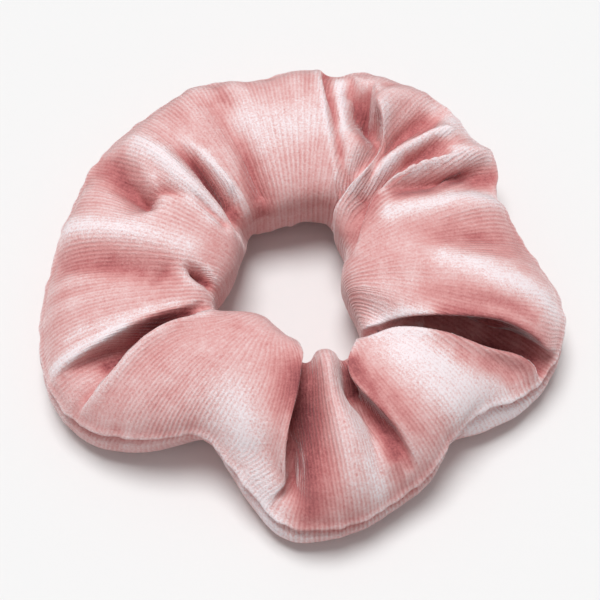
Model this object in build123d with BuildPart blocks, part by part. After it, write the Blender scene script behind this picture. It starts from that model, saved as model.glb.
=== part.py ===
from build123d import *
from math import cos, radians, sin
import os

# A gathered velvet scrunchie: a ribbed velvet tube sewn into a ring, round a loop of braided elastic.
#
# The ring lies flat on z = 0 with its hole round the Z axis. Lengths are in millimetres and angles in
# degrees, anticlockwise from +X seen from above. The tube is one rectangle of velvet. Its long edges meet
# in the rim seam, its ends meet in the end seam, and the gap that was left in the rim seam to turn it and
# to thread the elastic is closed by hand. The elastic lies loose in the tube, so it can creep round inside.

# The ring as it lies relaxed
HOLE_RADIUS = 15.0
OUTER_RADIUS = 54.5
TOP_HEIGHT = 26.0
RIM_HEIGHT = 10.0  # of the widest line, where the rim seam runs
BELLY_DEPTH = 12.5  # of the lower half, before it is flattened where the ring rests
GATHERED_WALL = 1.6  # velvet with its small gathers, measured through the wall

# Seams
PLY = 1.0  # one thickness of velvet
RIM_ALLOWANCE = 7.0
RIM_STITCH_RADIUS = 51.0
RIM_STITCHES = 90
GROOVE = 0.8  # how far a seam pulls the outside in
PLY_SLIT = 0.3
END_SEAM_ANGLE = 84.0
END_ALLOWANCE = 3.6
END_STITCH_INSET = 2.7
END_STITCHES = 30
GAP_START, GAP_END = 307.0, 352.0
LADDER_STITCHES = 15
THREAD_RADIUS = 0.2
PUNCTURE_RADIUS = 0.15

# The elastic loop
LOOP_RADIUS = 23.0
BAND_WIDTH = 6.0
BAND_THICKNESS = 1.2
BAND_HEIGHT = 10.0  # of its middle
LAP_START, LAP_ANGLE = 190.0, 30.0
RAMP_ANGLE = 14.0  # over which the outer end climbs on to the inner one
LAP_GAP = 0.05
STRANDS = 8
STRAND_SIZE = 0.45
ZIGZAGS = 7
LAP_MARGIN = 4.0  # degrees of the lap that are left bare before the first corner and after the last
ZIGZAG_WIDTH = 4.0

# Worked out from those
TUBE_CENTRE = (HOLE_RADIUS + OUTER_RADIUS) / 2
TUBE_HALF_WIDTH = (OUTER_RADIUS - HOLE_RADIUS) / 2
CROWN = TOP_HEIGHT - RIM_HEIGHT
CAVITY_RADIUS = OUTER_RADIUS - GATHERED_WALL
LAP_RISE = BAND_THICKNESS + LAP_GAP


def on_circle(radius, angle, height=0.0):
    """The point at that radius and angle round the ring."""
    return Vector(radius * cos(radians(angle)), radius * sin(radians(angle)), height)


def tube_section(inset):
    """The tube's cross-section, inset from its outside: a crown over a belly that is flat at the bottom."""
    half_width = TUBE_HALF_WIDTH - inset
    with BuildSketch(mode=Mode.PRIVATE) as section:
        for height, start_angle in ((CROWN - inset, 0), (BELLY_DEPTH - inset, 180)):
            with BuildLine():
                arc = EllipticalCenterArc(
                    (TUBE_CENTRE, RIM_HEIGHT), half_width, height, start_angle=start_angle, arc_size=180
                )
                Line(arc @ 0, arc @ 1)
            make_face()
        with Locations((TUBE_CENTRE, inset)):
            Rectangle(2 * OUTER_RADIUS, 2 * TOP_HEIGHT, align=(Align.CENTER, Align.MIN), mode=Mode.INTERSECT)
    return section.sketch


def radial_plane(angle):
    """The upright plane through the Z axis at that angle: its x runs outwards and its y upwards."""
    return Plane(origin=(0, 0, 0), x_dir=on_circle(1, angle), z_dir=on_circle(1, angle - 90))


END_PLANE = radial_plane(END_SEAM_ANGLE)

# The cover: the tube's wall, the two plies of each seam allowance inside, and the grooves outside
with BuildPart() as velvet_cover:
    with BuildSketch(Plane.XZ):
        add(tube_section(0))
        add(tube_section(GATHERED_WALL), mode=Mode.SUBTRACT)
        with Locations((CAVITY_RADIUS + PLY / 2, RIM_HEIGHT)):
            Rectangle(RIM_ALLOWANCE + PLY / 2, 2 * PLY, align=(Align.MAX, Align.CENTER))
        with Locations((RIM_STITCH_RADIUS - PLY / 2, RIM_HEIGHT)):
            Rectangle(RIM_ALLOWANCE, PLY_SLIT, align=(Align.MAX, Align.CENTER), mode=Mode.SUBTRACT)
        with BuildLine():
            Polyline(
                (OUTER_RADIUS + GROOVE, RIM_HEIGHT - GROOVE),
                (OUTER_RADIUS + GROOVE, RIM_HEIGHT + GROOVE),
                (OUTER_RADIUS - GROOVE, RIM_HEIGHT),
                close=True,
            )
        make_face(mode=Mode.SUBTRACT)
    revolve(axis=Axis.Z)
    with BuildSketch(END_PLANE):
        add(tube_section(GATHERED_WALL / 2))
        add(tube_section(GATHERED_WALL + END_ALLOWANCE), mode=Mode.SUBTRACT)
    extrude(amount=PLY, both=True)
    with BuildSketch(END_PLANE):
        add(tube_section(-GROOVE))
        add(tube_section(GROOVE), mode=Mode.SUBTRACT)
        # The ring rests on its underside, so the groove stops short of it
        with Locations((TUBE_CENTRE, RIM_HEIGHT / 2)):
            Rectangle(2 * OUTER_RADIUS, TOP_HEIGHT, align=(Align.CENTER, Align.MIN), mode=Mode.INTERSECT)
    extrude(amount=GROOVE / 2, both=True, mode=Mode.SUBTRACT)
velvet_cover.part.label = "velvet_cover"


def rim_thread(side):
    """One thread of the rim seam's lockstitch: side is 1 for the needle thread, -1 for the bobbin thread."""
    height = RIM_HEIGHT + side * (PLY + THREAD_RADIUS)
    sewn_angle = 360 - (GAP_END - GAP_START)
    first_angle = GAP_END + sewn_angle / RIM_STITCHES / 2
    with BuildPart() as thread:
        with BuildSketch(radial_plane(GAP_END)):
            with Locations((RIM_STITCH_RADIUS, height)):
                Rectangle(2 * THREAD_RADIUS, 2 * THREAD_RADIUS)
        revolve(axis=Axis.Z, revolution_arc=sewn_angle)
        with BuildSketch(Plane.XY.offset(height)):
            with PolarLocations(RIM_STITCH_RADIUS, RIM_STITCHES, first_angle, sewn_angle):
                Circle(PUNCTURE_RADIUS)
        extrude(amount=-side * (PLY + THREAD_RADIUS))
    return thread


rim_seam_needle_thread = rim_thread(1)
rim_seam_needle_thread.part.label = "rim_seam_needle_thread"
rim_seam_bobbin_thread = rim_thread(-1)
rim_seam_bobbin_thread.part.label = "rim_seam_bobbin_thread"


def end_thread(side):
    """One thread of the end seam's lockstitch: a loop on one face of the two plies, and a leg per stitch."""
    inset = GATHERED_WALL + END_STITCH_INSET
    face = END_PLANE.offset(side * PLY)
    with BuildSketch(face) as loop:
        add(tube_section(inset))
    line = loop.sketch.faces()[0].outer_wire()
    feet = [line @ (i / END_STITCHES) for i in range(END_STITCHES)]
    with BuildPart() as thread:
        with BuildSketch(face):
            add(tube_section(inset - THREAD_RADIUS))
            add(tube_section(inset + THREAD_RADIUS), mode=Mode.SUBTRACT)
        extrude(amount=side * 2 * THREAD_RADIUS)
        with BuildSketch(face):
            with Locations(*(face.to_local_coords(foot) for foot in feet)):
                Circle(PUNCTURE_RADIUS)
        extrude(amount=-side * PLY)
    return thread


end_seam_needle_thread = end_thread(1)
end_seam_needle_thread.part.label = "end_seam_needle_thread"
end_seam_bobbin_thread = end_thread(-1)
end_seam_bobbin_thread.part.label = "end_seam_bobbin_thread"

# The ladder stitches that close the turning gap: short rungs across the groove of the rim
with BuildPart() as gap_closing_thread:
    gap_angle = GAP_END - GAP_START
    first_angle = GAP_START + gap_angle / LADDER_STITCHES / 2
    with PolarLocations(OUTER_RADIUS - GROOVE, LADDER_STITCHES, first_angle, gap_angle):
        with Locations((0, 0, RIM_HEIGHT)):
            Cylinder(THREAD_RADIUS, 2 * PLY)
gap_closing_thread.part.label = "gap_closing_thread"


def band_layer(thickness, width, height):
    """A strip that follows the elastic loop: once round, then up a ramp and over its own start."""
    ramp_start = LAP_START + 360 - RAMP_ANGLE
    lap_end = LAP_START + 360 + LAP_ANGLE
    with BuildPart() as strip:
        with BuildSketch(Plane.XY.offset(height - width / 2)):
            with BuildLine():
                CenterArc((0, 0), LOOP_RADIUS, LAP_START, 360 - RAMP_ANGLE)
                Spline(
                    on_circle(LOOP_RADIUS, ramp_start),
                    on_circle(LOOP_RADIUS + LAP_RISE, LAP_START + 360),
                    tangents=(on_circle(1, ramp_start + 90), on_circle(1, LAP_START + 90)),
                )
                CenterArc((0, 0), LOOP_RADIUS + LAP_RISE, LAP_START, lap_end - LAP_START - 360)
            trace(line_width=thickness)
        extrude(amount=width)
    return strip


def strand_height(index):
    """The height of the middle of one rubber strand."""
    return BAND_HEIGHT + (index - (STRANDS - 1) / 2) * BAND_WIDTH / STRANDS


# The rubber strands, and the polyester braid that is woven over them
with BuildPart() as elastic_rubber_strands:
    for i in range(STRANDS):
        add(band_layer(STRAND_SIZE, STRAND_SIZE, strand_height(i)).part)
elastic_rubber_strands.part.label = "elastic_rubber_strands"

with BuildPart() as elastic_braid:
    add(band_layer(BAND_THICKNESS, BAND_WIDTH, BAND_HEIGHT).part)
    add(elastic_rubber_strands.part, mode=Mode.SUBTRACT)
elastic_braid.part.label = "elastic_braid"


def lap_thread(side):
    """One thread of the zigzag that sews the lap: side is 1 for the loop's outer face, -1 for its inner."""
    middle = LOOP_RADIUS + LAP_RISE / 2
    reach = LAP_RISE / 2 + BAND_THICKNESS / 2
    zig_angle = (LAP_ANGLE - 2 * LAP_MARGIN) / (ZIGZAGS - 1)
    angles = [LAP_START + LAP_MARGIN + i * zig_angle for i in range(ZIGZAGS)]
    heights = [BAND_HEIGHT + ZIGZAG_WIDTH / 2 * (1 if i % 2 else -1) for i in range(ZIGZAGS)]
    face_radius = middle + side * (reach + THREAD_RADIUS)
    corners = [on_circle(face_radius, angle, height) for angle, height in zip(angles, heights)]
    with BuildPart() as thread:
        with BuildLine():
            Polyline(*corners)
        with BuildSketch(Plane(origin=corners[0], z_dir=corners[1] - corners[0])):
            Circle(THREAD_RADIUS)
        sweep(transition=Transition.ROUND)
        for angle, corner in zip(angles, corners):
            with BuildSketch(Plane(origin=corner, z_dir=on_circle(-side, angle))):
                Circle(PUNCTURE_RADIUS)
            extrude(amount=reach + THREAD_RADIUS)
    return thread


band_lap_needle_thread = lap_thread(1)
band_lap_needle_thread.part.label = "band_lap_needle_thread"
band_lap_bobbin_thread = lap_thread(-1)
band_lap_bobbin_thread.part.label = "band_lap_bobbin_thread"

os.makedirs("parts", exist_ok=True)
for piece in (
    velvet_cover,
    rim_seam_needle_thread,
    rim_seam_bobbin_thread,
    end_seam_needle_thread,
    end_seam_bobbin_thread,
    gap_closing_thread,
    elastic_rubber_strands,
    elastic_braid,
    band_lap_needle_thread,
    band_lap_bobbin_thread,
):
    export_step(piece.part, f"parts/{piece.part.label}.step")
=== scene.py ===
from math import cos, pi, radians, sin

import bpy
import numpy as np
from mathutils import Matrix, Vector


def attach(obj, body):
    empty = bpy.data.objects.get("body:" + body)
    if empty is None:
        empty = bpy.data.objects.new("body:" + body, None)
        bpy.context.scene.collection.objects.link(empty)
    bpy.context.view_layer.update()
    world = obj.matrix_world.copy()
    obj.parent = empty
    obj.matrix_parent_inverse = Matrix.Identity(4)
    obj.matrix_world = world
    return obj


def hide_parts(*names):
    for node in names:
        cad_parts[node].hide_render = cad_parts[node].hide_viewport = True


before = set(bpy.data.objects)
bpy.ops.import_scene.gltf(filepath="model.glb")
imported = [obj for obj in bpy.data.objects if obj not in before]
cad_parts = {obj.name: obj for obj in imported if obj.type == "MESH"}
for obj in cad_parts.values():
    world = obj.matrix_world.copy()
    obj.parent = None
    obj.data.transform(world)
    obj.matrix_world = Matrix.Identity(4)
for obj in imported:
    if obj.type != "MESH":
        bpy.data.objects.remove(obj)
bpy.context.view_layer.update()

# A gathered scrunchie of ribbed velvet round a loop of braided elastic.
#
# The cover is a grid: its columns run round the ring and its rows run across the fabric, from the rim seam
# over the top, through the hole, along the underside and back to the seam. The grid starts as a gathered
# tube and is pressed into folds. Lengths are in millimetres until a mesh is made.

MM = 0.001

# The cover's grid
ROUND = 512  # columns round the ring
ACROSS = 150  # rows across the fabric
TOP_SHARE = 0.62  # of the rows, which lie on the top

# The fabric as it was cut, its thickness and its ribs
CUT_LENGTH = 400.0
PLY = 0.9
RIB_WIDTH = 1.0
RIBS = round(CUT_LENGTH / RIB_WIDTH)
INSIDE_TONE = -0.3  # how the back of the velvet looks, on the scale of sheen_and_shade()

# The seams
GROOVE_DEPTH = 2.2
RIM_ALLOWANCE = 7.0
RIM_STITCH_INSET = 2.7
RIM_STITCHES = 90
END_SEAM_ANGLE = 84.0
END_SEAM_LEAN = 18.0  # how far it leans round the ring on its way to the hole
END_ALLOWANCE = 3.6
END_STITCH_INSET = 2.7
END_STITCHES = 30
GAP_START, GAP_END = 307.0, 352.0
LADDER_STITCHES = 15
THREAD_RADIUS = 0.2

# The elastic loop
LOOP_RADIUS = 23.0
BAND_WIDTH = 6.0
BAND_THICKNESS = 1.2
BAND_HEIGHT = 10.0
LAP_START, LAP_ANGLE = 190.0, 30.0
RAMP_ANGLE = 14.0
LAP_RISE = 1.25
YARN_PITCH = 1.5
YARN_RELIEF = 0.1
BRAID_COLUMNS = 640
BRAID_ROWS = 56

# The view and the light. Places and lengths are in metres, angles in degrees
CAMERA_TARGET = (-0.0007, 0.0050, 0.0)
CAMERA_DISTANCE = 0.40
CAMERA_TILT = 63.0  # above the floor
CAMERA_LENS, CAMERA_SENSOR = 110, 36  # both in mm
SUN_PLACE = (-0.12, 0.32, 1.24)
SUN_TARGET = (0, 0, 0.01)
SUN_ANGLE = 30.0  # how broad its light is
SUN_STRENGTH = 2.5
ROOM_STRENGTH = 0.34
FLOOR_SIZE = 3.0
FLOOR_GREY = (0.84, 0.84, 0.84, 1)

# The velvet's colours, from painted shade's deep pink to painted sheen's pale: position, colour
VELVET_COLOURS = [
    (0.0, (0.27, 0.066, 0.074)),
    (0.22, (0.53, 0.175, 0.175)),
    (0.45, (0.72, 0.345, 0.335)),
    (0.70, (0.84, 0.575, 0.570)),
    (1.0, (0.95, 0.850, 0.880)),
]
SHEEN_TINT = (1, 0.88, 0.88, 1)
THREAD_COLOUR, THREAD_SHADE = (0.70, 0.36, 0.35), (0.42, 0.16, 0.16)
BAND_THREAD_COLOUR, BAND_THREAD_SHADE = (0.95, 0.95, 0.93), (0.66, 0.66, 0.63)

# The rim seam seen from above: angle, radius, height
RIM = [
    (0.6, 53.2, 10), (5, 51.2, 10.5), (14.7, 48.2, 11), (24, 47.6, 11.5), (30.6, 48.0, 12), (34, 50.8, 12),
    (40, 53.2, 12), (46, 52.2, 12), (52, 54.6, 12), (60, 56.4, 12), (70, 56.4, 12), (77, 56, 12),
    (82, 53.8, 12), (87, 55.6, 12), (95, 54.6, 12), (101, 53.4, 12), (108, 55.4, 12), (115, 56.2, 12),
    (123, 55.4, 11.5), (131, 55.0, 11.5), (138, 55.6, 11), (146, 55.2, 11), (154, 53.8, 10.5),
    (162, 53.6, 10.5), (171, 53.4, 10), (181, 54.5, 9.5), (189, 55.5, 9), (197, 56, 8.5), (206, 55.5, 9),
    (215, 52.5, 10), (225, 46.5, 11.5), (238, 38.6, 13), (248, 40.5, 10.5), (256, 44.5, 9), (266, 50, 8),
    (275, 51.2, 8), (284, 50.2, 8), (293, 48.2, 8.5), (304, 46.6, 9.5), (314, 44, 11), (324, 45.0, 10.5),
    (333, 49.8, 9), (340, 52.8, 8.5), (350, 54.8, 9),
]
# The edge of the hole: its height, then angle, radius
HOLE_HEIGHT = 13.0
HOLE = [
    (0, 8.3), (26, 9), (44, 12), (62, 15.0), (77, 20.2), (92, 19.6), (112, 18.8), (124, 19.6), (134, 17.2),
    (148, 15.8), (165, 15.2), (179, 16.6), (190, 18.8), (198, 19), (210, 13), (224, 10.8), (238, 11.2),
    (256, 12.8), (266, 14.6), (273, 16.8), (281, 16.8), (287, 17.6), (292, 18.6), (298, 18), (305, 17),
    (314, 17.6), (326, 14), (340, 10.4),
]
# The crown of the tube: angle, height
TOP = [
    (0, 24), (30, 23), (60, 23), (90, 22), (120, 23), (150, 23), (180, 23), (210, 23), (240, 24), (262, 25),
    (280, 24), (300, 23), (320, 21.5), (335, 21), (347, 24),
]
# Gathers: how many there are round the ring, phase, drift across the fabric, size
GATHERS = [(19, 0.4, 0.7, 1.7), (31, 2.2, -0.5, 1.2), (53, 4.4, 0.9, 0.6)]
WALL_SHARE = 0.35  # of their size, on the outer wall
# Puckers along the seam: how many there are round the ring, phase, size
PUCKERS = [(47, 0.3, 0.40), (71, 1.9, 0.35), (103, 4.1, 0.25)]

# How far the lower ply stands out below the seam: angle, distance
BULGE = [
    (0, 1.5), (90, 1), (180, 1.5), (205, 2.5), (222, 2.5), (236, -1.5), (250, 1.2), (268, 3), (278, 2),
    (292, 1.6), (305, 1.4), (314, 0), (323, 4), (336, 3), (347, 2),
]


def step(low, high, x):
    """A smooth step from 0 at low to 1 at high."""
    x = np.clip((x - low) / (high - low), 0, 1)
    return x * x * (3 - 2 * x)


def around(table, angle, column=1):
    """A smooth closed curve through a table's values, at these angles in degrees."""
    at = np.array([row[0] for row in table], float)
    value = np.tile(np.array([row[column] for row in table], float), 3)
    at = np.concatenate([at - 360, at, at + 360])
    slope = np.gradient(value, at)
    angle = np.mod(angle, 360.0)
    k = np.clip(np.searchsorted(at, angle, side="right") - 1, 0, len(at) - 2)
    gap = at[k + 1] - at[k]
    x = (angle - at[k]) / gap
    return (
        (1 + 2 * x) * (1 - x) ** 2 * value[k]
        + x * (1 - x) ** 2 * gap * slope[k]
        + x * x * (3 - 2 * x) * value[k + 1]
        + x * x * (x - 1) * gap * slope[k + 1]
    )


def smooth_line(points, count):
    """Catmull-Rom through points whose further columns are carried along."""
    p = np.array(points, float)
    p = np.vstack([2 * p[0] - p[1], p, 2 * p[-1] - p[-2]])
    s = np.linspace(0, len(p) - 3 - 1e-6, count)
    k = s.astype(int)
    x = (s - k)[:, None]
    a, b, c, d = p[k], p[k + 1], p[k + 2], p[k + 3]
    cubic = 3 * b - a - 3 * c + d
    return 0.5 * (2 * b + (c - a) * x + (2 * a - 5 * b + 4 * c - d) * x**2 + cubic * x**3)


def unit(vectors):
    """The vectors at length 1."""
    return vectors / np.maximum(np.linalg.norm(vectors, axis=-1, keepdims=True), 1e-9)


def normals(p):
    """The outward normals of a grid that closes both ways."""
    along = np.roll(p, -1, 0) - np.roll(p, 1, 0)
    across = np.roll(p, -1, 1) - np.roll(p, 1, 1)
    return unit(np.cross(along, across))


def row_turns():
    """Where each row lies round the tube's section: 0 at the seam, pi at the hole, 2 pi at the seam again."""
    x = np.arange(ACROSS) / ACROSS
    top = x < TOP_SHARE
    half = np.where(top, x / TOP_SHARE, (x - TOP_SHARE) / (1 - TOP_SHARE))
    closer_at_ends = half - 0.35 * np.sin(2 * pi * half) / (2 * pi)
    return (pi * (closer_at_ends + ~top))[None, :]


TURN = row_turns()


def puckers(theta):
    """Small uneven puckers along the seam, from -1 to 1."""
    angle = np.radians(theta)
    return sum(size * np.sin(angle * count + phase) for count, phase, size in PUCKERS)


def gathers(theta):
    """The fabric's small gathers on the outer wall and the underside: rounded ridges with sharp valleys."""
    angle = np.radians(theta)
    ridges = 0
    for count, phase, drift, size in GATHERS:
        slow = 0.5 * np.sin(3 * angle + phase)
        ridges = ridges + size * (np.abs(np.sin(0.5 * (count * angle + phase + drift * TURN) + slow)) - 0.64)
    near = step(0.0, 0.6, -np.sin(angle))
    under = step(pi + 0.15, pi + 0.9, TURN) * (1 - step(2 * pi - 0.30 - near, 2 * pi - 0.02 - near, TURN))
    wall = step(0.06, 0.35, TURN) * (1 - step(0.8, 1.3, TURN)) * WALL_SHARE * (1 - 0.7 * near)
    return ridges * (under + wall * (TURN < pi))


def seam_relief(theta, over):
    """How far the fabric stands out at this height over the seam: a groove between soft lips, and puckers."""
    lips = 0.8 * np.exp(-((over - 1.3) ** 2)) + 0.6 * np.exp(-((over + 1.3) ** 2))
    front = step(0.0, 0.5, -np.sin(np.radians(theta)))
    groove = GROOVE_DEPTH * (0.6 + 0.4 * front) * np.exp(-(np.abs(over) / 0.5) ** 1.5)
    return lips - groove + 0.5 * puckers(theta) * np.exp(-np.abs(over) / 2.5)


def tube(theta):
    """The gathered tube before its folds, at these angles in degrees. Powers below 1 make its top and its
    underside fuller than a circle."""
    rim, rim_height = around(RIM, theta), around(RIM, theta, 2)
    hole, crown = around(HOLE, theta), around(TOP, theta)
    c, s = np.cos(TURN), np.sin(TURN)
    up, down, out = np.clip(s, 0, 1), np.clip(-s, 0, 1), np.clip(c, 0, 1)
    middle, half = (rim + hole) / 2, (rim - hole) / 2
    level = rim_height * (1 + c) / 2 + HOLE_HEIGHT * (1 - c) / 2
    roundness = 0.72 + np.where(c > 0, 0.2, 0.12) * c
    z = level + (crown - level) * up**roundness
    z = np.where(s < 0, level * (1 - down**0.62), z)
    r = middle + half * c - 0.16 * half * up**2
    r = r + around(BULGE, theta) * np.sin(pi * down) * out * (s < 0)
    ridges = gathers(theta)
    r = r + out * seam_relief(theta, z - level) + ridges * c
    z = np.maximum(z + ridges * s * step(0, 3, z), 0.02) + 0.9 * puckers(theta / 5) * out**4
    angle = np.radians(theta)
    return np.stack(np.broadcast_arrays(r * np.cos(angle), r * np.sin(angle), z), axis=-1)


def even(points, left, right, **more):
    """A fold of the same width all the way: its points are x, y and depth."""
    return dict(line=[(x, y, depth, left, right) for x, y, depth in points], **more)


# Each fold runs outwards from the hole. Its rows are x, y, depth, width on the left and on the right of the
# line; a negative depth is a ridge. lip and rise are for the left and the right bank.
FOLDS = [
    # at the front: the valley beside the front panel, and the tuck on the other side of it
    dict(line=[(0.4, -15, 1.5, 1.2, 1.6), (0.0, -20.5, 5.5, 2.6, 2.8), (-1.8, -28, 9.5, 8, 4.0),
               (-4.2, -37, 10, 10.5, 3.8), (-5.4, -45, 7, 10, 2.0), (-5.6, -52, 4, 8, 1.2)],
         lip=(0, 6.2), rise=(0.6, 1.2)),
    dict(line=[(9.6, -15, 2, 1.2, 1.2), (9.0, -20.4, 8, 2.0, 1.8), (9.8, -25, 8.5, 2.2, 2.8),
               (14.2, -31.4, 7, 2.6, 3.4), (17.4, -36, 4.5, 2.8, 4.0), (19.6, -40.5, 1, 2.8, 4.0)],
         lip=(3.2, 0), rise=(0.8, 0.3), wall=0.9),
    even([(12.5, -28, 0.3), (13.8, -34, 1.6), (15.5, -42, 1.2)], 1.8, 2.5),
    even([(4.4, -16, -1.5), (5.4, -26, -2.5), (7.4, -35, -2.5), (9.4, -44, -1)], 3.2, 3.2),
    even([(-1.5, -21, -2.0), (0.0, -24, -3)], 2.0, 2.0),
    # the pocket on the right and the panels on both sides of it
    dict(line=[(10, -12.6, 2, 1.2, 1.2), (14, -11.6, 3.5, 1.5, 1.4), (19.5, -10.6, 7, 2.0, 2.0),
               (29, -11.4, 11, 3.8, 3.0), (38, -13.0, 12, 5.6, 3.8), (45, -14.6, 11, 5.2, 2.8),
               (50, -16.8, 7, 4, 1.8), (53, -19.5, 2, 3, 1.6)],
         lip=(5.0, 2.6), rise=(0.6, 1.3), wall=1.1),
    even([(33, -18, 0.8), (40, -20, 1.8), (45, -22, 1)], 3, 3),
    even([(24, -21, -1.0), (30, -27, -1.8)], 6, 6),
    even([(24, 2, -1.0), (36, 0, -1.8), (49, -4.5, -1.5)], 4.5, 4.5),
    even([(27, 9, 1.2), (36, 10, 2), (45, 9.5, 1)], 5.5, 5.5),
    # the creases at the upper right
    dict(line=[(17, 17.6, 1, 2, 2), (21, 19.6, 3.5, 2.4, 2.8), (26, 21.8, 5.5, 2.8, 3.4),
               (32, 24.6, 6.5, 3, 3.6), (38, 26.8, 5.5, 3.2, 3.6), (44, 28.8, 1.5, 3, 3)],
         rise=(0.9, 0.5)),
    dict(line=[(8.2, 7.2, 1, 2.4, 2.4), (11.0, 13.8, 2.5, 2.6, 2.6), (14.6, 19.4, 6, 2.6, 2.6),
               (19.0, 24.4, 6.5, 2.4, 2.6), (24.6, 28.6, 4.5, 2.2, 2.4), (30.6, 31.8, 1.5, 2, 2.2)],
         lip=(0, 2.4), rise=(0, 1.0)),
    even([(21.5, 28.2, 1.0), (25.8, 31.4, 3), (29.4, 33.8, 1.0)], 1.6, 1.8),
    even([(12.8, 20.2, -1.0), (18.2, 27.4, -2.2), (24.6, 32.6, -2.4), (31.4, 36.4, -1.6)], 1.6, 1.6),
    dict(line=[(12.2, 19, 2, 1.6, 1.4), (16, 26.3, 5, 3.2, 1.8), (21, 33.2, 7, 4.2, 2.4),
               (26.2, 39.5, 5.5, 4.5, 3), (31, 44.5, 2, 4, 3)], rise=(0.8, 0)),
    even([(8.6, 17, -1.0), (12.8, 26, -2), (17.4, 37, -2.4), (20, 46, -1.2)], 2.8, 3),
    dict(line=[(4.6, 15.5, 3, 1.4, 1.4), (6.8, 18.8, 4.5, 1.5, 1.5), (11.0, 25.6, 4.5, 1.7, 1.7),
               (14.8, 32, 6, 2.4, 1.9), (15.2, 36.5, 8.5, 3.8, 2.6), (13.8, 41.5, 9.5, 4.4, 3.2),
               (12.4, 46.5, 5, 3.8, 3.4)], lip=(0, 2.4), rise=(0.2, 0.9), wall=1.1),
    # the end seam
    even([(9.0, 20, 0.8), (7.8, 30, 1.4), (6.7, 38, 2.4), (6, 45, 2.8), (5.2, 52, 2.8), (5.0, 57, 2.8)],
         1.0, 1.0, rise=(0.8, 0)),
    # the gathers at the upper left
    even([(-7.0, 15, 3), (-8.6, 20, 4.2), (-11, 27, 3.4), (-13, 33, 1)], 2.8, 2.6),
    even([(-12, 28, 0.5), (-15.2, 34.5, 2.2), (-20, 43, 1.8)], 4, 4),
    even([(-12, 13, 4), (-15.4, 17.2, 6.5), (-19.6, 22, 6.5), (-24, 27, 4), (-27.5, 31, 0.5)], 2.0, 1.6,
         rise=(0.5, 1.2)),
    even([(-16.5, 12.6, 2), (-19.8, 15.4, 2.5), (-23, 18, 1)], 1.2, 1.2),
    even([(-10.5, 13, 1.5), (-12.8, 16.5, 2.5), (-14.6, 19.6, 1)], 0.9, 0.9),
    even([(-18.5, 15, -1.0), (-24.5, 21, -1.8), (-31, 28.5, -2.2), (-36, 34, -1.2)], 2.6, 2.6),
    dict(line=[(-31, 15.4, 1, 2, 1.4), (-33.8, 18.2, 5.5, 3.5, 2.0), (-38.5, 24, 4, 4.5, 3),
               (-43, 31, 1.5, 4.5, 3.5)], rise=(0, 0.6)),
    even([(-26, 18.6, 0.8), (-29.5, 19.6, 2.0), (-33, 18.4, 2.0)], 1.1, 1.2),
    # the left side, with its small pit at the hole
    even([(-25, 4.8, -0.8), (-37, 9, -1.8), (-51, 13.5, -1.4)], 4, 4),
    even([(-27, -0.5, 1.4), (-37, 1.5, 2.0), (-50, 4, 1.2)], 4, 4),
    even([(-23.2, 1.4, 2), (-21, 0, 8), (-19.2, -1.3, 3)], 1.0, 1.0, rise=(0.3, 0.3)),
    even([(-27.6, 2.4, 0.4), (-29, 0, 0.9), (-31, -2.2, 0.4)], 1.0, 1.0),
    # the overlap at the lower left
    dict(line=[(-20.5, -6.4, 1, 1.6, 0.8), (-23.8, -8.9, 4, 2.4, 1.2), (-27.9, -12, 8, 3.2, 2.6),
               (-33.7, -16.1, 8.5, 3.4, 4.0), (-38.1, -19.5, 6.5, 3.2, 4.8),
               (-42.5, -22.4, 4, 3.0, 5.4), (-47, -25, 1, 2.6, 6)], lip=(4.4, 0.8), rise=(0.8, 0.3)),
    even([(-12, -37, 0.8), (-8, -46, 2.0)], 2.6, 1.8),
]


def nearest_on_line(points, q):
    """For each point, the line's row of values at its nearest place and the line's direction there."""
    slope = np.gradient(q, axis=0)
    offset = points[:, None] - q[None, :, :2]
    k = (offset**2).sum(-1).argmin(-1)
    run = slope[k, :2]
    past = (offset[np.arange(len(k)), k] * run).sum(-1) / (run**2).sum(-1)
    place = np.clip(k + past, 0, len(q) - 1)
    low = np.minimum(place.astype(int), len(q) - 2)
    share = (place - low)[:, None]
    here = q[low] * (1 - share) + q[low + 1] * share
    return here, unit(slope[low, :2] * (1 - share) + slope[low + 1, :2] * share)


def near_line(p, q, reach):
    """Which grid points a fold along this line can move."""
    margin = 3 * q[:, 3:5].max() + reach
    low, high = q[:, :2].min(0) - margin, q[:, :2].max(0) + margin
    return ((p[..., :2] > low) & (p[..., :2] < high)).all(-1)


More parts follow.
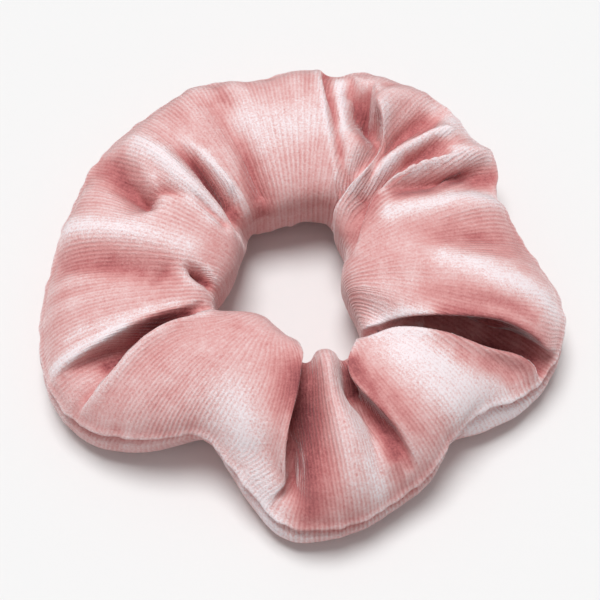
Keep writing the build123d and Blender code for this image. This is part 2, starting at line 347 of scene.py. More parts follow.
def press(p, n, weight, line, lip=(0, 0), rise=(0, 0), wall=0.8, reach=7.0, power=1.6):
    """How one fold moves the grid. A bank with a lip falls steeply and leans over the line by that much;
    a bank with a rise swells by that much before it falls. wall is half the width of a steep fall, reach is
    how far behind it the fabric leans along, and power shapes a soft bank."""
    q = smooth_line(line, 40)
    near = near_line(p, q, reach) & (weight > 0)
    here, tangent = nearest_on_line(p[near][:, :2], q)
    offset = p[near][:, :2] - here[:, :2]
    distance = np.linalg.norm(offset, axis=-1)
    side = tangent[:, 0] * offset[:, 1] - tangent[:, 1] * offset[:, 0]
    past_end = np.sqrt(np.maximum(distance**2 - side**2, 0))
    left = side >= 0
    across = np.stack([-tangent[:, 1], tangent[:, 0]], -1) * np.where(left, 1, -1)[:, None]
    depth = here[:, 2]
    amount = np.clip(depth / np.abs(q[:, 2]).max(), 0, 1)
    width = np.maximum(np.where(left, here[:, 3], here[:, 4]), 0.6)
    lean, swell = np.where(left, *lip), np.where(left, *rise)
    steep = lean > 0
    x = distance / width
    end = 1 - step(0, 2, past_end)
    steep_drop = (1 - step(width - wall, width + wall, distance)) * end
    drop = depth * np.where(steep, steep_drop, np.exp(-(x**power)))
    behind = np.maximum(distance - width - wall, 0)
    top = step(width - wall / 2, width + wall, distance) * np.exp(-((behind / reach) ** 2))
    steep_crest = np.exp(-(((distance - width - 1.4) / 1.6) ** 2))
    crest = np.where(steep, steep_crest, np.exp(-(((x - 1.6) / 0.6) ** 2)))
    pull = np.where(steep, 0, 0.10 * depth * x * np.exp(-x * x))
    shift = (swell * amount * crest * end - drop)[:, None] * n[near]
    shift[:, :2] -= ((lean * amount * top + pull) * end)[:, None] * across
    move = np.zeros_like(p)
    move[near] = shift * weight[near][:, None]
    return move


def folded_tube(theta):
    """The tube with every fold pressed into it."""
    p = tube(theta)
    n = normals(p)
    weight = step(0.02, 0.45, TURN) * (1 - step(pi - 0.55, pi + 0.35, TURN)) * np.ones_like(theta)
    return p + sum(press(p, n, weight, **fold) for fold in FOLDS)


def even_columns():
    """The folded tube, its columns spread evenly along the fabric of the top's outer half."""
    theta = np.linspace(0, 360, ROUND, endpoint=False)[:, None]
    p = folded_tube(theta)
    rows = slice(3, ACROSS // 3)
    for _ in range(2):
        lengths = np.linalg.norm(np.roll(p, -1, 0)[:, rows] - p[:, rows], axis=-1).mean(1)
        along = np.concatenate([[0], np.cumsum(lengths)])
        angles = np.append(theta[:, 0], theta[0, 0] + 360)
        theta = np.interp(np.linspace(0, along[-1], ROUND, endpoint=False), along, angles)[:, None]
        p = folded_tube(theta)
    return p


def neighbours_mean(p):
    """The mean of each point's four neighbours."""
    return (np.roll(p, 1, 0) + np.roll(p, -1, 0) + np.roll(p, 1, 1) + np.roll(p, -1, 1)) / 4


def spread(values):
    """Each point's number, or the one before it in its row or column if that is higher."""
    return np.maximum(values, np.maximum(np.roll(values, 1, 0), np.roll(values, 1, 1)))


def ease_stretch(p, rounds=6):
    """Lets points slide into the walls of deep folds, where the grid is stretched most, and evens out
    places where its columns are squeezed together. Both are judged by the grid's spacing at the start."""
    steps = np.roll(p, -1, 0) - p
    usual = np.linalg.norm(neighbours_mean(np.abs(steps)), axis=-1)
    common = np.median(np.linalg.norm(steps, axis=-1), 0, keepdims=True)
    for _ in range(rounds):
        along = np.linalg.norm(np.roll(p, -1, 0) - p, axis=-1)
        across = np.linalg.norm(np.roll(p, -1, 1) - p, axis=-1)
        stretch = spread(np.maximum(along, across)) / (2.2 * np.maximum(usual, 0.5))
        squeeze = spread(np.clip(1.3 - along / (0.5 * common), 0, 1))
        share = 0.6 * np.maximum(np.clip(stretch - 0.6, 0, 1), squeeze)
        p = p + share[..., None] * (neighbours_mean(p) - p)
    return p + 0.25 * (neighbours_mean(p) - p)


def clear_of_band(p, gap):
    """Moves points out of the space in which the elastic turns, with this gap round it."""
    r = np.hypot(p[..., 0], p[..., 1])
    middle = LOOP_RADIUS + LAP_RISE / 2
    a = (r - middle) / ((BAND_THICKNESS + LAP_RISE) / 2 + gap)
    b = (p[..., 2] - BAND_HEIGHT) / (BAND_WIDTH / 2 + gap)
    inside = np.clip((a**4 + b**4) ** 0.25, 0.2, 1)
    scale = (middle + (r - middle) / inside) / r
    height = BAND_HEIGHT + (p[..., 2] - BAND_HEIGHT) / inside
    return np.stack([p[..., 0] * scale, p[..., 1] * scale, height], -1)


def cover_surface():
    """The outside of the cover."""
    return clear_of_band(ease_stretch(even_columns()), gap=PLY + 0.8)


# Painted sheen, where the velvet is coloured pale: x and y of a stroke's points, half width, strength
SHEEN_STROKES = [
    ([(-9, 36), (2, 38)], 7.5, 0.6),
    ([(-35, 32), (-27, 23), (-19, 14)], 2.6, 0.6),
    ([(-49, 13.5), (-38, 10.5), (-25, 6.5)], 3.6, 0.6),
    ([(-48, -13.5), (-37, -10.5), (-26, -7)], 1.3, 0.6),
    ([(-51, -18.5), (-43, -15), (-37, -12.5)], 1.5, 0.8),
    ([(-15, -30), (-11, -38), (-6, -48)], 6.0, 0.85),
    ([(11, -28), (13.5, -36), (15, -45)], 2.2, 0.8),
    ([(19, -12), (24, -19), (33, -25), (41, -27)], 7.0, 1.0),
    ([(29, 3), (40, 0), (52, -5)], 2.8, 0.85),
    ([(18, 14), (27, 16.6), (34, 20.6), (41, 22)], 2.0, 0.9),
    ([(13.6, 21.6), (18.6, 27.8), (25, 32.8), (31, 36)], 1.4, 0.7),
    ([(11, 12), (16, 19), (24, 25), (35, 31)], 1.4, 0.4),
    ([(10.6, 21), (14.6, 31), (17, 40)], 2.2, 0.45),
    ([(8.2, 36), (8.2, 50)], 2.0, 0.7),
    ([(30, 44), (38, 37)], 3.0, 0.6),
    ([(-21.5, 28.5), (-14.5, 19)], 1.4, 0.6),
    ([(34, -30), (50, -21)], 2.5, 0.8),
]
# Painted shade, where the velvet is coloured deep pink in its folds, in the same columns
SHADE_STROKES = [
    ([(-0.5, -25), (0.6, -36), (0.8, -48)], 4.6, 1.0),
    ([(9.5, -21), (14.5, -31), (18, -38)], 2.6, 0.9),
    ([(15, -24), (20, -33)], 4.0, 0.35),
    ([(29, -11.5), (38, -12.5), (47, -15)], 3.4, 1.0),
    ([(19, -7), (28, -6), (38, -7), (47, -10)], 2.4, 0.45),
    ([(32, -17.8), (42, -19.5)], 2.2, 0.45),
    ([(-24, -8.4), (-29, -10.4), (-34, -14), (-40, -18.5)], 1.5, 1.0),
    ([(14.0, 33.5), (13.0, 43)], 2.8, 1.0),
    ([(20, 19.5), (26, 21.8), (33, 25.2), (41, 28)], 2.2, 0.7),
    ([(22.4, 29.2), (28.6, 33)], 1.4, 0.7),
    ([(20, 33), (28, 41)], 3.0, 0.35),
    ([(11, 12), (15, 18)], 2.2, 0.8),
    ([(-35, 19), (-42, 29)], 4.0, 0.5),
    ([(-15, 16.5), (-19.5, 22), (-23.5, 27)], 1.5, 0.9),
    ([(-8, 16), (-10.6, 23), (-13.5, 32)], 2.4, 0.6),
    ([(-30, 1), (-48, 5)], 4.0, 0.4),
    ([(-22, 0.6), (-20.3, -0.5)], 0.9, 1.2),
    ([(30, 9), (44, 9)], 5.0, 0.3),
    ([(5.2, 56), (6.8, 38)], 1.2, 0.6),
]


def strokes(p, table):
    """How strongly each grid point is covered by a table of strokes, seen from above."""
    cover = np.zeros(p.shape[:2])
    for points, half_width, strength in table:
        q = smooth_line(points, 16)
        nearest = np.full(p.shape[:2], np.inf)
        for x, y in q:
            nearest = np.minimum(nearest, (p[..., 0] - x) ** 2 + (p[..., 1] - y) ** 2)
        cover = np.maximum(cover, strength * np.exp(-nearest / half_width**2))
    return cover


def sheen_and_shade(p):
    """Painted light in the velvet: from -1 for deep pink painted shade to 1 for pale painted sheen."""
    n = normals(p)
    # Painted sheen lies only on faces turned up towards the light.
    facing_up = step(-0.2, 0.2, n[..., 2])
    # Painted shade under the lips of folds.
    shade_under_lip = (1 - step(-0.3, 0.3, n[..., 2])) * (TURN > 0.5) * (TURN < pi - 0.6)
    smooth = p
    for _ in range(12):
        smooth = neighbours_mean(smooth)
    crest = ((p - smooth) * n).sum(-1)
    # Painted shade in valleys, pockets and slits.
    painted_shade = strokes(p, SHADE_STROKES)
    # Painted highlight on crests and painted shade in hollows, except under painted shade strokes.
    wear_and_crest_shading = np.clip(crest * 1.2, -0.5, 0.5) * (1 - np.clip(painted_shade, 0, 1))
    # Painted sheen: the strokes and the lighter crests, on faces turned up to the light.
    painted_sheen = (strokes(p, SHEEN_STROKES) + wear_and_crest_shading) * facing_up
    return np.clip(painted_sheen - painted_shade * (TURN < pi) - 0.7 * shade_under_lip, -1, 1)


def rib_octave(p):
    """How many times the ribs are crowded together, as a power of two, from -1 to 2."""
    width = np.linalg.norm(np.roll(p, -1, 0) - np.roll(p, 1, 0), axis=-1) / 2 * ROUND / RIBS
    for _ in range(4):
        width = neighbours_mean(width[..., None])[..., 0]
    return np.clip(np.log2(RIB_WIDTH / width), -1, 2)


class Shader:
    """A material's node tree, with short calls that add nodes and join them. A noise scale is per metre,
    so 1000 is a pattern of about 1 mm. Bump distances are in metres."""

    def __init__(self, name):
        self.material = bpy.data.materials.new(name)
        self.material.use_nodes = True
        self.tree = self.material.node_tree
        self.surface = self.tree.nodes["Principled BSDF"]
        self.place = self.tree.nodes.new("ShaderNodeTexCoord").outputs["Object"]

    def set(self, **values):
        """Sets the surface's own sockets: base_color, roughness and so on."""
        for name, value in values.items():
            title = "Specular IOR Level" if name == "specular" else name.replace("_", " ").title()
            self.surface.inputs[title].default_value = value

    def give(self, socket, value):
        """Gives a socket a number, or links it to another node's output."""
        if isinstance(value, bpy.types.NodeSocket):
            self.tree.links.new(value, socket)
        else:
            socket.default_value = value

    def math(self, operation, *values, clamp=False):
        """A math node on numbers and outputs."""
        node = self.tree.nodes.new("ShaderNodeMath")
        node.operation = operation
        node.use_clamp = clamp
        for socket, value in zip(node.inputs, values):
            self.give(socket, value)
        return node.outputs[0]

    def sum(self, *values, clamp=False):
        """Adds up numbers and outputs."""
        total = values[0]
        for value in values[1:-1]:
            total = self.math("ADD", total, value)
        return self.math("ADD", total, values[-1], clamp=clamp)

    def centred(self, value, size):
        """A value between 0 and 1, moved to lie round 0 and scaled."""
        return self.math("MULTIPLY", self.math("SUBTRACT", value, 0.5), size)

    def noise(self, scale, detail=2.0, roughness=0.5):
        """Noise between 0 and 1, in the object's own space."""
        node = self.tree.nodes.new("ShaderNodeTexNoise")
        for name, value in (("Scale", scale), ("Detail", detail), ("Roughness", roughness)):
            node.inputs[name].default_value = value
        self.give(node.inputs["Vector"], self.place)
        return node.outputs["Fac"]

    def attribute(self, name):
        """The number that paint() kept on the mesh."""
        node = self.tree.nodes.new("ShaderNodeAttribute")
        node.attribute_name = name
        return node.outputs["Fac"]

    def uv(self, axis):
        """One of the mesh's flat coordinates."""
        node = self.tree.nodes.new("ShaderNodeSeparateXYZ")
        self.tree.links.new(self.tree.nodes.new("ShaderNodeUVMap").outputs[0], node.inputs[0])
        return node.outputs[axis]

    def stretch(self, value, low, high):
        """Maps low..high to 0..1, smoothly."""
        node = self.tree.nodes.new("ShaderNodeMapRange")
        node.interpolation_type = "SMOOTHSTEP"
        self.give(node.inputs["Value"], value)
        node.inputs["From Min"].default_value = low
        node.inputs["From Max"].default_value = high
        return node.outputs["Result"]

    def colour(self, value, *stops):
        """Colours the surface by a value, through (position, colour) stops."""
        node = self.tree.nodes.new("ShaderNodeValToRGB")
        ramp = node.color_ramp
        while len(ramp.elements) < len(stops):
            ramp.elements.new(0.5)
        for element, (position, colour) in zip(ramp.elements, stops):
            element.position = position
            element.color = (*colour, 1)
        self.give(node.inputs[0], value)
        self.tree.links.new(node.outputs[0], self.surface.inputs["Base Color"])

    def bump(self, height, strength, distance):
        """Raises the surface's normals by a height."""
        node = self.tree.nodes.new("ShaderNodeBump")
        node.inputs["Strength"].default_value = strength
        node.inputs["Distance"].default_value = distance
        self.give(node.inputs["Height"], height)
        self.tree.links.new(node.outputs[0], self.surface.inputs["Normal"])


def velvet_ribs(v):
    """The ribs as a wave from -1 to 1. Where the fabric is crowded together, only every second or fourth
    rib shows, so their width stays near the real one."""
    wander = v.centred(v.noise(700, 2), 2.2)
    octave = v.attribute("octave")
    ribs = 0.0
    for power in (-1, 0, 1, 2):
        turns = v.math("MULTIPLY", v.uv(0), 2 * pi * RIBS / 2**power)
        wave = v.math("SINE", v.math("ADD", turns, wander))
        away = v.math("ABSOLUTE", v.math("SUBTRACT", octave, float(power)))
        share = v.math("SUBTRACT", 1.0, away, clamp=True)
        ribs = v.math("ADD", ribs, v.math("MULTIPLY", wave, share))
    crisp = v.math("MULTIPLY_ADD", v.stretch(v.noise(60, 2), 0.30, 0.65), 0.7, 0.3)
    return v.math("MULTIPLY", ribs, crisp)


def velvet():
    """Ribbed stretch velvet: pale where sheen is painted on, deep pink where shade is painted on."""
    v = Shader("velvet")
    rib = velvet_ribs(v)
    # painted sheen and painted shade, kept on the mesh
    painted_light = v.attribute("sheen_and_shade")
    painted_sheen = v.stretch(painted_light, -0.2, 0.8)
    patch = v.centred(v.noise(90, 3, 0.6), 0.22)
    # random wear in the colour
    wear_and_crest_shading = v.centred(v.noise(260, 3, 0.65), 0.35)
    pile = v.noise(1900, 3, 0.75)
    tuft = v.noise(3600, 2, 0.7)
    speck = v.math("MULTIPLY", v.centred(pile, 0.8), v.math("MULTIPLY_ADD", painted_sheen, 0.7, 0.5))
    fine = v.math("MULTIPLY", v.centred(tuft, 0.5), v.math("MULTIPLY_ADD", painted_sheen, 1.3, 0.4))
    # painted sheen lightens the colour and painted shade darkens it
    light_and_shade_tone = v.math("MULTIPLY", painted_light, 0.45)
    rib_seen = v.math("MULTIPLY_ADD", v.stretch(painted_light, -0.7, 0.0), 0.06, 0.04)
    rib_shade = v.math("MULTIPLY", rib, rib_seen)
    v.colour(v.sum(light_and_shade_tone, 0.51, patch, wear_and_crest_shading, speck, fine, rib_shade, clamp=True), *VELVET_COLOURS)
    v.set(roughness=0.8, specular=0.15, sheen_weight=1.0, sheen_roughness=0.3, sheen_tint=SHEEN_TINT)
    height = v.sum(v.math("MULTIPLY", rib, 0.28), v.centred(pile, 1.0), v.centred(tuft, 0.5))
    v.bump(height, 0.6, 0.00035)
    return v.material


def thread_material(name, colour, shade):
    """Spun thread: a twisted pair of yarns, with loose fibre."""
    v = Shader(name)
    along = v.math("MULTIPLY", v.uv(0), 2 * pi)
    round_it = v.math("MULTIPLY", v.uv(1), 4 * pi)
    twist = v.math("MULTIPLY_ADD", v.math("SINE", v.math("ADD", along, round_it)), 0.5, 0.5)
    fibre = v.noise(6000, 2, 0.6)
    light = v.sum(v.math("MULTIPLY", twist, 0.6), v.centred(fibre, 0.5), clamp=True)
    v.colour(light, (0.0, shade), (1.0, colour))
    v.set(roughness=0.6, specular=0.3, sheen_weight=0.3, sheen_roughness=0.4)
    v.bump(v.sum(twist, v.math("MULTIPLY", fibre, 0.5)), 0.5, 0.00008)
    return v.material


def plain_thread_material(name, colour, shade):
    """Spun thread on a solid that carries no lengthwise coordinates."""
    v = Shader(name)
    fibre = v.noise(5200, 3, 0.7)
    v.colour(fibre, (0.3, shade), (0.7, colour))
    v.set(roughness=0.6, specular=0.3, sheen_weight=0.3, sheen_roughness=0.4)
    v.bump(fibre, 0.5, 0.00008)
    return v.material


def braid_material():
    """White polyester braid: soft yarns that catch a little light, and painted shade greyer between them."""
    v = Shader("elastic_braid")
    relief = v.attribute("relief")
    filament = v.noise(7000, 2, 0.6)
    soiling = v.noise(120, 2, 0.5)
    # painted shade: the colour darkens where the yarns' relief is low, between them
    value = v.sum(relief, v.centred(filament, 0.5), v.centred(soiling, 0.2), clamp=True)
    v.colour(value, (0.0, (0.48, 0.47, 0.45)), (0.4, (0.80, 0.79, 0.76)), (1.0, (0.93, 0.92, 0.89)))
    v.set(roughness=0.55, specular=0.35, sheen_weight=0.4, sheen_roughness=0.4)
    v.bump(filament, 0.5, 0.00006)
    return v.material


def latex_material():
    """Natural rubber, dusted with talc."""
    v = Shader("latex_rubber")
    dust = v.noise(1500, 3, 0.7)
    v.colour(dust, (0.35, (0.72, 0.60, 0.42)), (0.7, (0.88, 0.82, 0.70)))
    v.set(roughness=0.5, specular=0.4)
    v.bump(dust, 0.4, 0.00004)
    return v.material


def ring_quads(columns, rows, first=0):
    """The faces of a grid that closes both ways and whose points are numbered from first."""
    i = first + np.arange(columns * rows).reshape(columns, rows)
    ahead = np.roll(i, -1, 0)
    return np.stack([i, ahead, np.roll(ahead, -1, 1), np.roll(i, -1, 1)], -1).reshape(-1, 4)


def ring_uvs(columns, rows):
    """The corner coordinates of those faces, each from 0 to 1, without a jump at the last face."""
    u, v = np.meshgrid(np.arange(columns), np.arange(rows), indexing="ij")
    corners = [(u, v), (u + 1, v), (u + 1, v + 1), (u, v + 1)]
    return (np.array([np.stack(corner, -1) for corner in corners]) / (columns, rows)).transpose(1, 2, 0, 3)


def new_piece(name, points, faces, corner_uvs):
    """A smooth-shaded mesh object made from millimetres."""
    mesh = bpy.data.meshes.new(name)
    mesh.from_pydata((np.asarray(points) * MM).tolist(), [], faces)
    mesh.uv_layers.new(name="flat").data.foreach_set("uv", np.asarray(corner_uvs, np.float32).reshape(-1))
    mesh.polygons.foreach_set("use_smooth", [True] * len(mesh.polygons))
    piece = bpy.data.objects.new(name, mesh)
    bpy.context.collection.objects.link(piece)
    return piece


def rings_piece(name, grids):
    """One piece from several grids that each close both ways."""
    points, faces, uvs, first = [], [], [], 0
    for grid in grids:
        columns, rows = grid.shape[:2]
        points.append(grid.reshape(-1, 3))
        faces.append(ring_quads(columns, rows, first))
        uvs.append(ring_uvs(columns, rows).reshape(-1, 2))
        first += columns * rows
    return new_piece(name, np.concatenate(points), np.concatenate(faces).tolist(), np.concatenate(uvs))


def rings_along(path, radius, sides):
    """Rings of points round an open path."""
    tangent = unit(np.gradient(path, axis=0))
    side = unit(np.cross(tangent, (0.03, 0.05, 1.0)))
    top = np.cross(side, tangent)
    turn = np.linspace(0, 2 * pi, sides, endpoint=False)[None, :, None]
    return path[:, None] + radius * (np.cos(turn) * side[:, None] + np.sin(turn) * top[:, None])


def tube_piece(name, paths, radius, sides=6, twist=1.6):
    """Threads along open paths, joined in one piece, with closed ends. twist is the length of one turn."""
    points, faces, uvs = [], [], []
    first = 0
    for path in paths:
        points.append(rings_along(path, radius, sides).reshape(-1, 3))
        turns = np.cumsum(np.linalg.norm(np.diff(path, axis=0, prepend=path[:1]), axis=1)) / twist
        for i in range(len(path) - 1):
            a, b = first + i * sides, first + (i + 1) * sides
            for j in range(sides):
                k = (j + 1) % sides
                faces.append((a + j, a + k, b + k, b + j))
                uvs += [(turns[i], j / sides), (turns[i], (j + 1) / sides)]
                uvs += [(turns[i + 1], (j + 1) / sides), (turns[i + 1], j / sides)]
        last = first + (len(path) - 1) * sides
        faces += [tuple(range(first + sides - 1, first - 1, -1)), tuple(range(last, last + sides))]
        uvs += [(0, 0)] * (2 * sides)
        first += len(path) * sides
    return new_piece(name, np.concatenate(points), faces, uvs)


def paint(piece, name, values):
    """Keeps one number per point on the mesh, for its material."""
    attribute = piece.data.attributes.new(name, "FLOAT", "POINT")
    attribute.data.foreach_set("value", values.reshape(-1).astype(np.float32))


def inner_surface(p):
    """The inside of the velvet: every second point of the outside, one ply in."""
    n = normals(p)
    for _ in range(3):
        n = neighbours_mean(n)
    inside = (p - PLY * unit(n))[::2, ::2]
    return clear_of_band(inside, gap=0.5)


def between_rows(values, index):
    """The rows of a closed table at these places, which may lie between two rows."""
    closed = np.vstack([values, values[:1]])
    rows = np.arange(len(closed))
    return np.stack([np.interp(index, rows, column) for column in closed.T], -1)


def seam_frame(p, angles):
    """Points on the bottom of the rim groove at these angles, and the directions out of it and across it."""
    at = np.degrees(np.unwrap(np.arctan2(p[:, 0, 1], p[:, 0, 0])))
    at = np.concatenate([at, at[:1] + 360])
    index = np.interp(np.mod(angles - at[0], 360) + at[0], at, np.arange(ROUND + 1))
    edge = between_rows(p[:, 0], index)
    out = unit(between_rows(normals(p)[:, 0], index))
    across = unit(between_rows(p[:, 2] - p[:, -2], index))
    return edge, out, across


def ply_strip(edge, inward, across, depth, side):
    """One ply of a seam allowance: a strip that runs inward from an edge, beside its partner."""
    corners = ((0.0, 0.05), (depth, 0.05), (depth + 0.2, 0.5), (depth, 0.95), (0.0, 0.95))
    rows = [edge + inward * far + across * (side * PLY * lift) for far, lift in corners[:: int(side)]]
    return np.stack(rows, 1)


def rim_allowance(p):
    """The two plies that run inward from the rim seam."""
    at = np.linspace(0, 360, ROUND // 2, endpoint=False)
    edge, out, across = seam_frame(p, at)
    return [ply_strip(edge - out * PLY / 2, -out, across, RIM_ALLOWANCE, side) for side in (1.0, -1.0)]


def end_section(p, inset):
    """The cover's section along the end seam, inset from the outside, and the directions in and sideways."""
    lean = END_SEAM_ANGLE - END_SEAM_LEAN * (1 - np.cos(TURN[0])) / 2
    n = normals(p)
    loop, inward = np.zeros((ACROSS, 3)), np.zeros((ACROSS, 3))
    for row, angle in enumerate(lean):
        at = np.mod(np.degrees(np.arctan2(p[:, row, 1], p[:, row, 0])), 360)
        nearest = np.abs(at - angle).argmin()
        loop[row], inward[row] = p[nearest, row], -n[nearest, row]
    for _ in range(8):
        loop = (np.roll(loop, 1, 0) + 2 * loop + np.roll(loop, -1, 0)) / 4
        inward = unit((np.roll(inward, 1, 0) + 2 * inward + np.roll(inward, -1, 0)) / 4)
    flow = unit(np.roll(loop, -1, 0) - np.roll(loop, 1, 0))
    sideways = unit(np.cross(inward, flow))
    return clear_of_band(loop + inward * inset, gap=0.9)[::2], inward[::2], sideways[::2]


def end_allowance(p):
    """The two plies that run inward from the end seam, all round the section."""
    edge, _, sideways = end_section(p, PLY / 2)
    tip = end_section(p, PLY + END_ALLOWANCE)[0]
    strips = []
    for side in (1.0, -1.0):
        corners = ((0.0, 0.05), (1.0, 0.05), (1.0, 0.95), (0.0, 0.95))[:: int(side)]
        rows = [edge + (tip - edge) * far + sideways * (side * PLY * lift) for far, lift in corners]
        strips.append(np.stack(rows, 1))
    return strips


def lockstitch(path, across, side, count):
    """One thread of a lockstitch: it lies on its own face of the plies and dips between them at the holes."""
    stitch = np.linspace(0, count, len(path))
    dip = np.exp(-((np.abs(stitch - np.round(stitch)) / 0.12) ** 2))
    lift = side * ((PLY + THREAD_RADIUS) * (1 - dip) + 0.1 * dip)
    return path + across * lift[:, None]


def rim_threads(p):
    """The needle and bobbin threads of the rim seam, from the end of the turning gap round to its start."""
    at = np.linspace(GAP_END, GAP_START + 360, RIM_STITCHES * 10 + 1)
    edge, out, across = seam_frame(p, at)
    path = edge - out * RIM_STITCH_INSET
    for side, name in ((1, "rim_lockstitch_top"), (-1, "rim_lockstitch_under")):
        yield tube_piece(name, [lockstitch(path, across, side, RIM_STITCHES)], THREAD_RADIUS)


def end_threads(p):
    """The needle and bobbin threads of the end seam, all round the section."""
    path, _, sideways = end_section(p, PLY + END_STITCH_INSET)
    index = np.linspace(0, len(path) - 1, END_STITCHES * 10 + 1)
    path, sideways = between_rows(path, index), between_rows(sideways, index)
    for side, name in ((1, "end_lockstitch_near"), (-1, "end_lockstitch_far")):
        yield tube_piece(name, [lockstitch(path, sideways, side, END_STITCHES)], THREAD_RADIUS)


def ladder_stitches(p):
    """The hand stitches that close the turning gap, each a short bowed rung across the groove."""
    pitch = (GAP_END - GAP_START) / LADDER_STITCHES
    edge, out, across = seam_frame(p, GAP_START + pitch * (np.arange(LADDER_STITCHES) + 0.5))
    bow = np.linspace(-1, 1, 9)[:, None]
    rungs = [e + a * bow * 1.2 + o * (0.35 - 0.5 * bow**2) for e, o, a in zip(edge, out, across)]
    return tube_piece("ladder_stitches", rungs, THREAD_RADIUS)


def squared(wave):
    """A sine or cosine whose curve is pushed out towards a rectangle's."""
    return np.sign(wave) * np.abs(wave) ** 0.35


def hump(x):
    """One rounded hump for each unit of x."""
    return np.sin(pi * (x % 1))


def braid_relief(distance, lift):
    """How high the braid's yarns stand, from 0 to 1. Two sets cross and take turns to be on top."""
    first, second = (distance + lift) / YARN_PITCH, (distance - lift) / YARN_PITCH
    first_on_top = (np.floor(first) + np.floor(second)) % 2 < 1
    first_height = hump(first) * (0.6 + 0.4 * hump(second))
    second_height = hump(second) * (0.6 + 0.4 * hump(first))
    return np.where(first_on_top, first_height, second_height)


def braid():
    """The flat braided sleeve of the elastic, once round and over its own start, with its yarns in relief."""
    along = np.radians(np.linspace(LAP_START, LAP_START + 360 + LAP_ANGLE, BRAID_COLUMNS))[:, None]
    climb = np.degrees(along) - (LAP_START + 360 - RAMP_ANGLE)
    middle = LOOP_RADIUS + LAP_RISE * step(0, RAMP_ANGLE, climb)
    turn = np.linspace(0, 2 * pi, BRAID_ROWS, endpoint=False)
    lift = squared(np.sin(turn)) * BAND_WIDTH / 2
    thick = squared(np.cos(turn)) * BAND_THICKNESS / 2
    relief = braid_relief(along * LOOP_RADIUS, lift)
    r = middle + thick * (1 - YARN_RELIEF * (1 - relief) / (BAND_THICKNESS / 2))
    height = BAND_HEIGHT + lift[None, :] * np.ones_like(r)
    points = np.stack([r * np.cos(along), r * np.sin(along), height], -1)
    faces = ring_quads(BRAID_COLUMNS, BRAID_ROWS).reshape(BRAID_COLUMNS, BRAID_ROWS, 4)
    faces = faces[:-1].reshape(-1, 4)[:, ::-1].tolist()
    uvs = ring_uvs(BRAID_COLUMNS, BRAID_ROWS)[:-1].reshape(-1, 4, 2)[:, ::-1].reshape(-1, 2).tolist()
    last = (BRAID_COLUMNS - 1) * BRAID_ROWS
    faces += [list(range(BRAID_ROWS)), list(range(last + BRAID_ROWS - 1, last - 1, -1))]
    uvs += [(0, 0)] * (2 * BRAID_ROWS)
    piece = new_piece("braided_sleeve", points.reshape(-1, 3), faces, uvs)
    paint(piece, "relief", relief)
    return piece


def same_for(grids, value):
    """One number for every point of these grids."""
    return [np.full(grid.shape[0] * grid.shape[1], value) for grid in grids]


def add_cover(p):
    """The velvet tube: its outside, its inside and its seam allowances."""
    inner = inner_surface(p)
    extras = rim_allowance(p) + end_allowance(p)
    piece = rings_piece("velvet_tube", [p, inner[:, ::-1], *extras])
    # painted sheen and painted shade on the outside; the inside and the seam allowances get one even tone
    paint(piece, "sheen_and_shade", np.concatenate([sheen_and_shade(p).reshape(-1), *same_for([inner, *extras], INSIDE_TONE)]))
    octave = rib_octave(p)
    inner_octave = octave[::2, ::2][:, ::-1]
    octaves = [octave.reshape(-1), inner_octave.reshape(-1), *same_for(extras, 0)]
    paint(piece, "octave", np.concatenate(octaves))
    piece.data.materials.append(velvet())
    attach(piece, "cover")
    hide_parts("velvet_cover")


def add_threads(p):
    """The cover's sewing threads, each in the place of its CAD node."""
    material = thread_material("sewing_thread", THREAD_COLOUR, THREAD_SHADE)
    pieces = [*rim_threads(p), *end_threads(p), ladder_stitches(p)]
    nodes = [
        "rim_seam_needle_thread",
        "rim_seam_bobbin_thread",
        "end_seam_needle_thread",
        "end_seam_bobbin_thread",
        "gap_closing_thread",
    ]
    for piece, node in zip(pieces, nodes):
        piece.data.materials.append(material)
        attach(piece, "cover")
        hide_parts(node)


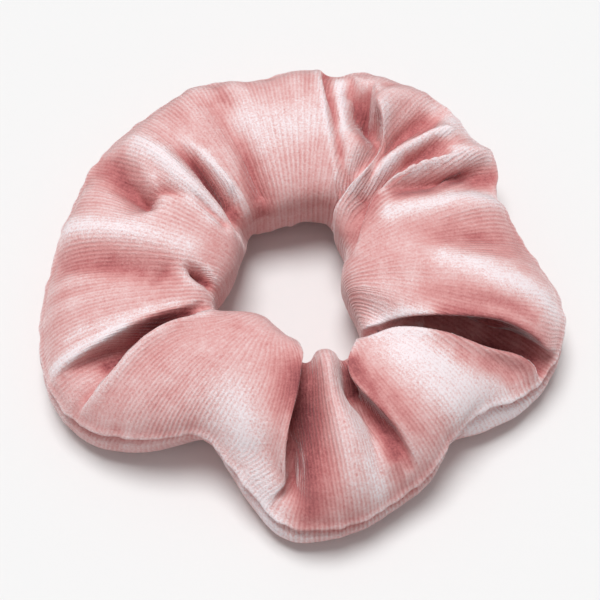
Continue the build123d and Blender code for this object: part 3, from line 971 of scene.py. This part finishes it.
def add_elastic():
    """The braided sleeve, and materials for the strands and lap threads that the CAD model gives."""
    piece = braid()
    piece.data.materials.append(braid_material())
    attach(piece, "band")
    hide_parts("elastic_braid")
    give_material("elastic_rubber_strands", latex_material())
    white = plain_thread_material("band_thread", BAND_THREAD_COLOUR, BAND_THREAD_SHADE)
    for node in ("band_lap_needle_thread", "band_lap_bobbin_thread"):
        give_material(node, white)


def give_material(node, material):
    """Gives a CAD node one material."""
    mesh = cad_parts[node].data
    mesh.materials.clear()
    mesh.materials.append(material)


def add_floor():
    """The pale floor."""
    mesh = bpy.data.meshes.new("floor")
    corners = [(x * FLOOR_SIZE, y * FLOOR_SIZE, 0) for x, y in ((-1, -1), (1, -1), (1, 1), (-1, 1))]
    mesh.from_pydata(corners, [], [(0, 1, 2, 3)])
    floor = bpy.data.objects.new("floor", mesh)
    bpy.context.collection.objects.link(floor)
    paper = Shader("floor")
    paper.set(base_color=FLOOR_GREY, roughness=0.9, specular=0.2)
    mesh.materials.append(paper.material)


def aim(thing, place, target):
    """Puts a light or camera at a place, in metres, looking at a target."""
    thing.location = place
    thing.rotation_euler = (Vector(target) - Vector(place)).to_track_quat("-Z", "Y").to_euler()
    bpy.context.collection.objects.link(thing)


def add_light():
    """Broad soft light from above and a little behind, in a bright room."""
    lamp = bpy.data.lights.new("soft_box", "SUN")
    lamp.angle = radians(SUN_ANGLE)
    lamp.energy = SUN_STRENGTH
    aim(bpy.data.objects.new("soft_box", lamp), SUN_PLACE, SUN_TARGET)
    world = bpy.data.worlds.new("room")
    world.use_nodes = True
    background = world.node_tree.nodes["Background"]
    background.inputs["Color"].default_value = (1, 1, 1, 1)
    background.inputs["Strength"].default_value = ROOM_STRENGTH
    bpy.context.scene.world = world


def add_camera():
    """A camera that looks down at the ring from in front."""
    lens = bpy.data.cameras.new("camera")
    lens.lens = CAMERA_LENS
    lens.sensor_width = CAMERA_SENSOR
    lens.clip_start = CAMERA_DISTANCE / 40
    camera = bpy.data.objects.new("camera", lens)
    tilt = radians(CAMERA_TILT)
    target = Vector(CAMERA_TARGET)
    aim(camera, target + CAMERA_DISTANCE * Vector((0, -cos(tilt), sin(tilt))), target)
    bpy.context.scene.camera = camera


add_camera()
add_light()
add_floor()
cover_grid = cover_surface()
add_cover(cover_grid)
add_threads(cover_grid)
add_elastic()
bpy.context.scene.view_settings.view_transform = "Standard"
